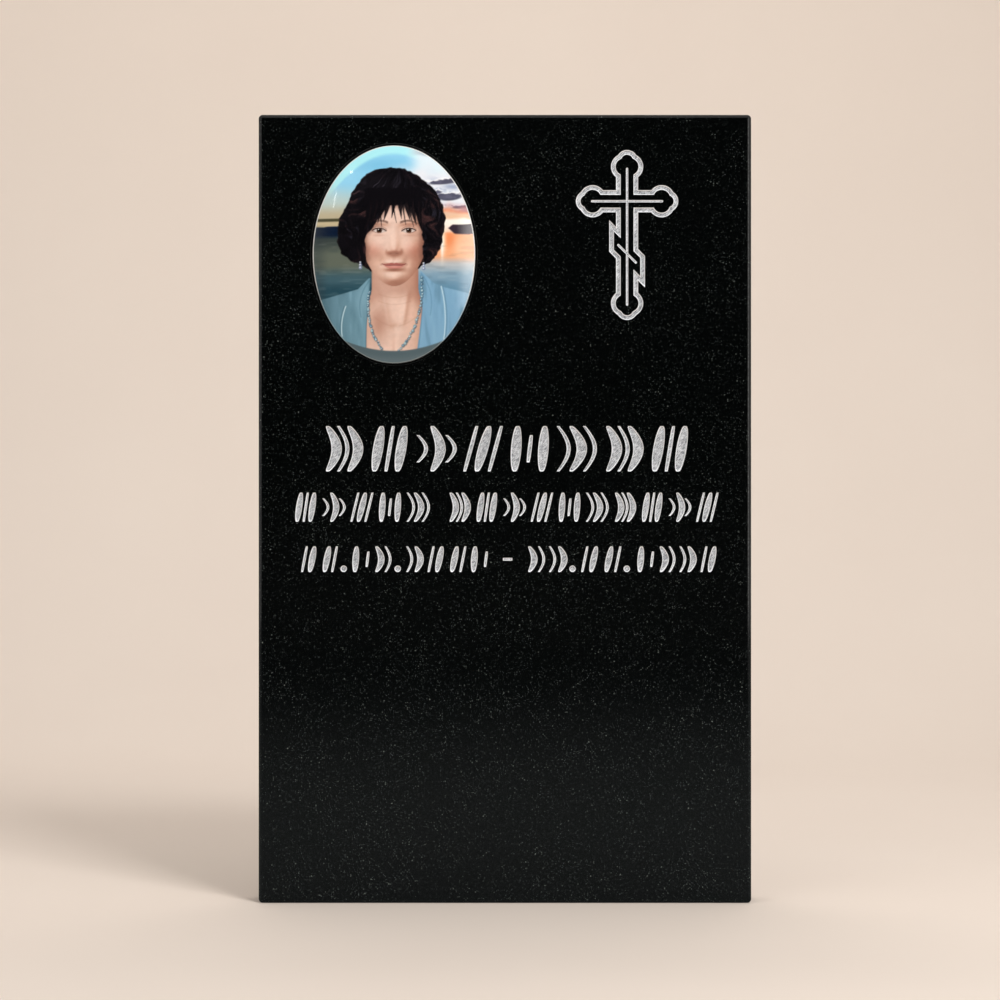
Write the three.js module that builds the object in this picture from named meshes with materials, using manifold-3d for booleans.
import * as THREE from 'three';
import { mergeVertices } from 'three/addons/utils/BufferGeometryUtils.js';
import Module from 'manifold-3d';

// An upright headstone: one slab of polished black stone with a domed porcelain oval let into its face.
// Millimetres, +Z up. The origin is the centre of the slab's underside, and the carved face looks along -Y.
// What is cut into the face is drawn with x to the right, y up from the underside and z out of the face.

// The slab
const SLAB_WIDTH = 500;
const SLAB_HEIGHT = 800;
const SLAB_DEPTH = 50;
const EDGE_CHAMFER = 3;
const CORNER_RADIUS = 4;

// The porcelain oval and the pocket that holds it
const OVAL_X = -112.5;
const OVAL_Y = 658;
const OVAL_WIDTH = 165;
const OVAL_HEIGHT = 221;
const OVAL_EDGE = 5;
const OVAL_EDGE_ROUNDING = 1.4;
const OVAL_CROWN = 9;
const OVAL_WALL = 5;
const OVAL_FOOT_WIDTH = 7;
const DOME_POWER = 2.6;
const POCKET_CLEARANCE = 2.1;
const POCKET_DEPTH = 4;
const POCKET_ARRIS = 0.8;
const BED_GAP = 0.3;

// The outline cross with budded ends and a slanting lower bar
const CROSS_X = 123.9;
const CROSS_Y = 712;
const CROSS_GROOVE_WIDTH = 5.2;
const CROSS_GROOVE_DEPTH = 1.6;
const STEM_HALF_WIDTH = 6.5;
const SIDE_BUD_RADIUS = 8.6;
const SIDE_BUD_OFFSET = 3;
const END_BUD_RADIUS = 6.1;
const END_BUD_BEYOND_SIDE_BUDS = 6.1;
const ARM_REACH = 35;
const FOOT_REACH = 103.5;
const SLANT_BAR_DROP = 53.3;
const SLANT_BAR_HALF_LENGTH = 13.4;
const SLANT_BAR_HALF_THICKNESS = 6.6;

// The thin strokes along the middle of the cross
const MIDLINE_WIDTH = 2.7;
const MIDLINE_DEPTH = 1.2;
const MIDLINE_TOP = 32.9;
const MIDLINE_FOOT = -104.8;
const MIDLINE_SIDE = 35.5;
const MIDLINE_SLANT = 8.9;

// Three rows of cut strokes. A group is its left end, its right end and how many cells of strokes it holds.
const ROWS = [
  {
    bottom: 438, height: 46, thick: 10.5, thin: 4, tip: 2.6, gap: 6, steps: 6, cellKind: 'wide',
    groups: [[-185, 188, 8]],
    dots: [],
    dashes: []
  },
  {
    bottom: 387, height: 29.5, thick: 6.3, thin: 2.6, tip: 1.9, gap: 4.5, steps: 4, cellKind: 'wide',
    groups: [[-214, -76, 5], [-58, 217, 10]],
    dots: [],
    dashes: []
  },
  {
    bottom: 336, height: 26, thick: 6.6, thin: 2.7, tip: 1.9, gap: 3.5, steps: 4, cellKind: 'narrow',
    groups: [
      [-207, -169, 2], [-155.5, -115, 2], [-100.5, -17, 4],
      [21.5, 63.5, 2], [77, 118.5, 2], [133.5, 216, 4]
    ],
    dots: [-163.5, -108.7, 68.6, 123.6],
    dashes: [[-2, 7.5]]
  }
];
const STROKE_DEPTH = 1.7;

// What one cell holds. A place of 0 or 1 puts a stroke against the cell's left or right end, lean and bow are
// shares of the cell's width, and reach is a share of its height. Every stroke leans and bows the same way,
// so no two of them close up into a letter.
const CELL_PATTERNS = {
  wide: [
    [
      { weight: 'thick', place: 0, lean: 0, bow: 0.22, reach: [0, 1] },
      { weight: 'thin', place: 0.5, lean: 0, bow: 0.22, reach: [0, 1] },
      { weight: 'thick', place: 1, lean: 0, bow: 0.22, reach: [0, 1] }
    ],
    [
      { weight: 'thick', place: 0, lean: 0.18, bow: 0, reach: [0, 1] },
      { weight: 'thin', place: 0.5, lean: 0.18, bow: 0, reach: [0, 1] },
      { weight: 'thick', place: 1, lean: 0.18, bow: 0, reach: [0, 1] }
    ],
    [
      { weight: 'thin', place: 0, lean: 0, bow: 0.2, reach: [0.2, 0.8] },
      { weight: 'thick', place: 0.5, lean: 0, bow: 0.2, reach: [0, 1] },
      { weight: 'thin', place: 1, lean: 0, bow: 0.2, reach: [0.2, 0.8] }
    ],
    [
      { weight: 'thin', place: 0, lean: 0.3, bow: 0, reach: [0, 1] },
      { weight: 'thick', place: 0.5, lean: 0.3, bow: 0, reach: [0, 1] },
      { weight: 'thin', place: 1, lean: 0.3, bow: 0, reach: [0, 1] }
    ],
    [
      { weight: 'thick', place: 0, lean: 0.08, bow: 0, reach: [0, 1] },
      { weight: 'thin', place: 0.5, lean: 0.08, bow: 0, reach: [0.2, 0.8] },
      { weight: 'thick', place: 1, lean: 0.08, bow: 0, reach: [0, 1] }
    ],
    [
      { weight: 'thin', place: 0, lean: 0, bow: 0.26, reach: [0, 1] },
      { weight: 'thick', place: 0.5, lean: 0, bow: 0.26, reach: [0, 1] },
      { weight: 'thin', place: 1, lean: 0, bow: 0.26, reach: [0, 1] }
    ]
  ],
  narrow: [
    [
      { weight: 'thick', place: 0, lean: 0, bow: 0.26, reach: [0, 1] },
      { weight: 'thin', place: 1, lean: 0, bow: 0.26, reach: [0, 1] }
    ],
    [
      { weight: 'thick', place: 0, lean: 0.28, bow: 0, reach: [0, 1] },
      { weight: 'thin', place: 1, lean: 0.28, bow: 0, reach: [0, 1] }
    ],
    [
      { weight: 'thin', place: 0, lean: 0, bow: 0.26, reach: [0, 1] },
      { weight: 'thick', place: 1, lean: 0, bow: 0.26, reach: [0, 1] }
    ],
    [
      { weight: 'thick', place: 0, lean: 0.1, bow: 0, reach: [0, 1] },
      { weight: 'thin', place: 1, lean: 0.1, bow: 0, reach: [0.2, 0.8] }
    ],
    [
      { weight: 'thin', place: 0, lean: 0.28, bow: 0, reach: [0, 1] },
      { weight: 'thick', place: 1, lean: 0.28, bow: 0, reach: [0, 1] }
    ]
  ]
};
const PATTERN_STRIDE = 7;

// How finely round shapes are faceted, and how far a cutter stands out of the face it cuts
const OVAL_SEGMENTS = 64;
const DOME_RINGS = 5;
const BUD_SEGMENTS = 10;
const DOT_SEGMENTS = 12;
const CORNER_SEGMENTS = 3;
const BAR_END_SEGMENTS = 4;
const CUTTER_OVERHANG = 2;
const WALL_SLOPE = 0.5;
const MERGE_DISTANCE = 1e-5;

const graniteMaterial = new THREE.MeshStandardMaterial({ color: 0x0c0e0e, roughness: 0.12, metalness: 0 });
const porcelainMaterial = new THREE.MeshStandardMaterial({ color: 0x7d8a90, roughness: 0.08, metalness: 0 });

const wasm = await Module();
wasm.setup();

// A closed geometry as a solid that can be joined and cut
function solidOf(geometry) {
  const bare = geometry.clone();
  bare.deleteAttribute('normal');
  bare.deleteAttribute('uv');
  const merged = mergeVertices(bare, MERGE_DISTANCE);
  return new wasm.Manifold(new wasm.Mesh({
    numProp: 3,
    vertProperties: merged.attributes.position.array,
    triVerts: Uint32Array.from(merged.index.array)
  }));
}

// The finished solid as a geometry again
function geometryOf(solid) {
  const mesh = solid.getMesh();
  const geometry = new THREE.BufferGeometry();
  geometry.setAttribute('position', new THREE.BufferAttribute(mesh.vertProperties, mesh.numProp));
  geometry.setIndex(new THREE.BufferAttribute(mesh.triVerts, 1));
  geometry.computeVertexNormals();
  return geometry;
}

// Turns a geometry drawn on the face, with z out of the stone, to where the face stands
function standOnFace(geometry) {
  geometry.rotateX(Math.PI / 2);
  geometry.translate(0, -SLAB_DEPTH / 2, 0);
  return geometry;
}

// A cutter whose walls slope in towards its floor, standing out of the face so that it cuts cleanly
function slopingCutter(outline, depth, segments) {
  const slope = depth * WALL_SLOPE;
  return solidOf(standOnFace(new THREE.ExtrudeGeometry(outline, {
    depth: CUTTER_OVERHANG,
    bevelThickness: depth,
    bevelSize: slope,
    bevelOffset: -slope,
    bevelSegments: 1,
    curveSegments: segments
  })));
}

function joined(solids) {
  return solids.reduce((sum, next) => sum.add(next));
}

// The slab before anything is cut into it
function slabBlank() {
  const right = SLAB_WIDTH / 2;
  const outline = new THREE.Shape();
  outline.moveTo(-right + CORNER_RADIUS, 0);
  outline.absarc(right - CORNER_RADIUS, CORNER_RADIUS, CORNER_RADIUS, -Math.PI / 2, 0);
  outline.absarc(right - CORNER_RADIUS, SLAB_HEIGHT - CORNER_RADIUS, CORNER_RADIUS, 0, Math.PI / 2);
  outline.absarc(-right + CORNER_RADIUS, SLAB_HEIGHT - CORNER_RADIUS, CORNER_RADIUS, Math.PI / 2, Math.PI);
  outline.absarc(-right + CORNER_RADIUS, CORNER_RADIUS, CORNER_RADIUS, Math.PI, 1.5 * Math.PI);
  const geometry = new THREE.ExtrudeGeometry(outline, {
    depth: SLAB_DEPTH - 2 * EDGE_CHAMFER,
    bevelThickness: EDGE_CHAMFER,
    bevelSize: EDGE_CHAMFER,
    bevelOffset: -EDGE_CHAMFER,
    bevelSegments: 1,
    curveSegments: CORNER_SEGMENTS
  });
  geometry.translate(0, 0, EDGE_CHAMFER - SLAB_DEPTH);
  return solidOf(standOnFace(geometry));
}

function ovalShape(halfWidth, halfHeight) {
  const outline = new THREE.Shape();
  outline.absellipse(OVAL_X, OVAL_Y, halfWidth, halfHeight, 0, 2 * Math.PI);
  return outline;
}

// The pocket: upright walls down to a flat floor, with a small arris ground around its mouth
function pocketCutter() {
  const halfWidth = OVAL_WIDTH / 2 + POCKET_CLEARANCE;
  const halfHeight = OVAL_HEIGHT / 2 + POCKET_CLEARANCE;
  const well = new THREE.ExtrudeGeometry(ovalShape(halfWidth, halfHeight), {
    depth: POCKET_DEPTH + CUTTER_OVERHANG,
    bevelEnabled: false,
    curveSegments: OVAL_SEGMENTS / 2
  });
  well.translate(0, 0, -POCKET_DEPTH);
  const mouth = new THREE.ExtrudeGeometry(ovalShape(halfWidth + POCKET_ARRIS, halfHeight + POCKET_ARRIS), {
    depth: CUTTER_OVERHANG,
    bevelThickness: POCKET_ARRIS,
    bevelSize: POCKET_ARRIS,
    bevelOffset: -POCKET_ARRIS,
    bevelSegments: 1,
    curveSegments: OVAL_SEGMENTS / 2
  });
  return solidOf(standOnFace(well)).add(solidOf(standOnFace(mouth)));
}

// Where the circle around a side bud meets the circle around the end bud, as an angle at each centre
function budMeeting(sideRadius, endRadius) {
  const apart = Math.hypot(END_BUD_BEYOND_SIDE_BUDS, SIDE_BUD_OFFSET);
  const along = (apart * apart + sideRadius * sideRadius - endRadius * endRadius) / (2 * apart);
  const tilt = Math.atan2(-SIDE_BUD_OFFSET, END_BUD_BEYOND_SIDE_BUDS);
  const atSide = tilt + Math.acos(along / sideRadius);
  const meetingX = sideRadius * Math.cos(atSide) - END_BUD_BEYOND_SIDE_BUDS;
  const meetingY = sideRadius * Math.sin(atSide) + SIDE_BUD_OFFSET;
  return { atSide, atEnd: Math.atan2(meetingY, meetingX) };
}

// Adds one budded end to the outline, turned to point along the given direction
function addBuddedEnd(points, direction, reach, margin) {
  const halfWidth = STEM_HALF_WIDTH + margin;
  const sideRadius = SIDE_BUD_RADIUS + margin;
  const endRadius = END_BUD_RADIUS + margin;
  const start = Math.PI - Math.asin((halfWidth - SIDE_BUD_OFFSET) / sideRadius);
  const meeting = budMeeting(sideRadius, endRadius);
  const arcs = [
    { x: reach, y: -SIDE_BUD_OFFSET, radius: sideRadius, from: -start, to: -meeting.atSide },
    { x: reach + END_BUD_BEYOND_SIDE_BUDS, y: 0, radius: endRadius, from: -meeting.atEnd, to: meeting.atEnd },
    { x: reach, y: SIDE_BUD_OFFSET, radius: sideRadius, from: meeting.atSide, to: start }
  ];
  const turn = new THREE.Vector2();
  for (const arc of arcs) {
    for (let step = 0; step <= BUD_SEGMENTS; step += 1) {
      const angle = arc.from + (arc.to - arc.from) * step / BUD_SEGMENTS;
      const point = new THREE.Vector2(arc.radius * Math.cos(angle), arc.radius * Math.sin(angle));
      point.add(new THREE.Vector2(arc.x, arc.y)).rotateAround(turn, direction);
      if (points.length === 0 || points[points.length - 1].distanceTo(point) > MERGE_DISTANCE) {
        points.push(point);
      }
    }
  }
}

// One side of the slanting bar, where its edges leave the stem. Side is 1 on the right and -1 on the left.
function addSlantBarSide(points, side, margin) {
  const stem = side * (STEM_HALF_WIDTH + margin);
  const end = side * (SLANT_BAR_HALF_LENGTH + margin);
  const rise = side * (SLANT_BAR_HALF_THICKNESS + margin) * Math.SQRT2;
  points.push(new THREE.Vector2(stem, -SLANT_BAR_DROP - stem - rise));
  points.push(new THREE.Vector2(end, -SLANT_BAR_DROP - end - rise));
  points.push(new THREE.Vector2(end, -SLANT_BAR_DROP - end + rise));
  points.push(new THREE.Vector2(stem, -SLANT_BAR_DROP - stem + rise));
}

// The outline of the whole cross about its own centre, grown by the margin on every side
function crossPoints(margin) {
  const points = [];
  const crotch = STEM_HALF_WIDTH + margin;
  addBuddedEnd(points, -Math.PI / 2, FOOT_REACH, margin);
  addSlantBarSide(points, 1, margin);
  points.push(new THREE.Vector2(crotch, -crotch));
  addBuddedEnd(points, 0, ARM_REACH, margin);
  points.push(new THREE.Vector2(crotch, crotch));
  addBuddedEnd(points, Math.PI / 2, ARM_REACH, margin);
  points.push(new THREE.Vector2(-crotch, crotch));
  addBuddedEnd(points, Math.PI, ARM_REACH, margin);
  points.push(new THREE.Vector2(-crotch, -crotch));
  addSlantBarSide(points, -1, margin);
  const centre = new THREE.Vector2(CROSS_X, CROSS_Y);
  return points.map((point) => point.add(centre));
}

// The groove around the cross: what lies between its outline and the same outline grown by the groove's width
function crossOutlineCutter() {
  const outline = new THREE.Shape(crossPoints(CROSS_GROOVE_WIDTH));
  outline.holes.push(new THREE.Path(crossPoints(0)));
  return slopingCutter(outline, CROSS_GROOVE_DEPTH, BUD_SEGMENTS);
}

// A straight round-ended stroke between two points given from the centre of the cross
function midlineCutter(fromX, fromY, toX, toY) {
  const radius = MIDLINE_WIDTH / 2;
  const heading = Math.atan2(toY - fromY, toX - fromX);
  const outline = new THREE.Shape();
  const quarter = Math.PI / 2;
  outline.absarc(CROSS_X + toX, CROSS_Y + toY, radius, heading - quarter, heading + quarter);
  outline.absarc(CROSS_X + fromX, CROSS_Y + fromY, radius, heading + quarter, heading + 3 * quarter);
  return slopingCutter(outline, MIDLINE_DEPTH, BAR_END_SEGMENTS);
}

function crossCutter() {
  const slantY = -SLANT_BAR_DROP;
  return joined([
    crossOutlineCutter(),
    midlineCutter(0, MIDLINE_FOOT, 0, MIDLINE_TOP),
    midlineCutter(-MIDLINE_SIDE, 0, MIDLINE_SIDE, 0),
    midlineCutter(-MIDLINE_SLANT, slantY + MIDLINE_SLANT, MIDLINE_SLANT, slantY - MIDLINE_SLANT)
  ]);
}

// A stroke swells from narrow tips to its full width, and may lean and bow sideways on its way up the row
function strokeCutter(row, cellLeft, cellWidth, stroke) {
  const fullWidth = row[stroke.weight];
  const room = cellWidth * (1 - stroke.lean - stroke.bow) - fullWidth;
  const foot = cellLeft + stroke.place * room + fullWidth / 2;
  const rightSide = [];
  const leftSide = [];
  for (let step = 0; step <= row.steps; step += 1) {
    const share = step / row.steps;
    const swell = Math.sin(Math.PI * share);
    const halfWidth = (row.tip + (fullWidth - row.tip) * Math.sqrt(swell)) / 2;
    const x = foot + cellWidth * (stroke.lean * share + stroke.bow * swell);
    const y = row.bottom + row.height * (stroke.reach[0] + (stroke.reach[1] - stroke.reach[0]) * share);
    rightSide.push(new THREE.Vector2(x + halfWidth, y));
    leftSide.unshift(new THREE.Vector2(x - halfWidth, y));
  }
  return slopingCutter(new THREE.Shape([...rightSide, ...leftSide]), STROKE_DEPTH, 1);
}

function dotCutter(row, x) {
  const outline = new THREE.Shape();
  outline.absarc(x, row.bottom + row.thick / 2, row.thick / 2, 0, 2 * Math.PI);
  return slopingCutter(outline, STROKE_DEPTH, DOT_SEGMENTS / 2);
}

function dashCutter(row, left, right) {
  const middle = row.bottom + row.height / 2;
  const outline = new THREE.Shape([
    new THREE.Vector2(left, middle - row.thin / 2),
    new THREE.Vector2(right, middle - row.thin / 2),
    new THREE.Vector2(right, middle + row.thin / 2),
    new THREE.Vector2(left, middle + row.thin / 2)
  ]);
  return slopingCutter(outline, STROKE_DEPTH, 1);
}

// Every stroke, dot and dash of one row. The cells take their patterns in turn, from the first one given.
function rowCutters(row, firstCell) {
  const cutters = [];
  const patterns = CELL_PATTERNS[row.cellKind];
  let cell = firstCell;
  for (const [left, right, cells] of row.groups) {
    const pitch = (right - left + row.gap) / cells;
    for (let place = 0; place < cells; place += 1) {
      const pattern = patterns[(cell * PATTERN_STRIDE) % patterns.length];
      for (const stroke of pattern) {
        cutters.push(strokeCutter(row, left + place * pitch, pitch - row.gap, stroke));
      }
      cell += 1;
    }
  }
  for (const x of row.dots) {
    cutters.push(dotCutter(row, x));
  }
  for (const [left, right] of row.dashes) {
    cutters.push(dashCutter(row, left, right));
  }
  return cutters;
}

function makeSlab() {
  const cutters = [pocketCutter(), crossCutter()];
  ROWS.forEach((row, index) => cutters.push(...rowCutters(row, index)));
  const slab = new THREE.Mesh(geometryOf(slabBlank().subtract(joined(cutters))), graniteMaterial);
  slab.name = 'granite_slab';
  return slab;
}

// Height of the dome above the oval's upright edge, at a share of the way from its centre to its rim
function domeRise(share) {
  return OVAL_CROWN * (1 - share ** DOME_POWER);
}

// The oval is a lathed dish of even thickness, squeezed sideways: domed front, hollow back and flat foot
function makeMedallion() {
  const rim = OVAL_HEIGHT / 2;
  const hollowRim = rim - OVAL_FOOT_WIDTH;
  const front = [];
  const back = [];
  for (let ring = 0; ring <= DOME_RINGS; ring += 1) {
    const share = Math.sin(Math.PI / 2 * ring / DOME_RINGS);
    front.unshift(new THREE.Vector2(share * (rim - OVAL_EDGE_ROUNDING), OVAL_EDGE + domeRise(share)));
    back.push(new THREE.Vector2(share * hollowRim, OVAL_EDGE - OVAL_WALL + domeRise(share)));
  }
  const profile = [
    ...back,
    new THREE.Vector2(rim, 0),
    new THREE.Vector2(rim, OVAL_EDGE - OVAL_EDGE_ROUNDING),
    ...front
  ];
  const geometry = new THREE.LatheGeometry(profile, OVAL_SEGMENTS);
  geometry.rotateX(Math.PI / 2);
  geometry.scale(OVAL_WIDTH / OVAL_HEIGHT, 1, 1);
  geometry.translate(OVAL_X, OVAL_Y, BED_GAP - POCKET_DEPTH);
  const medallion = new THREE.Mesh(geometryOf(solidOf(standOnFace(geometry))), porcelainMaterial);
  medallion.name = 'portrait_medallion';
  return medallion;
}

const headstone = new THREE.Group();
headstone.add(makeSlab());
headstone.add(makeMedallion());

export default headstone;
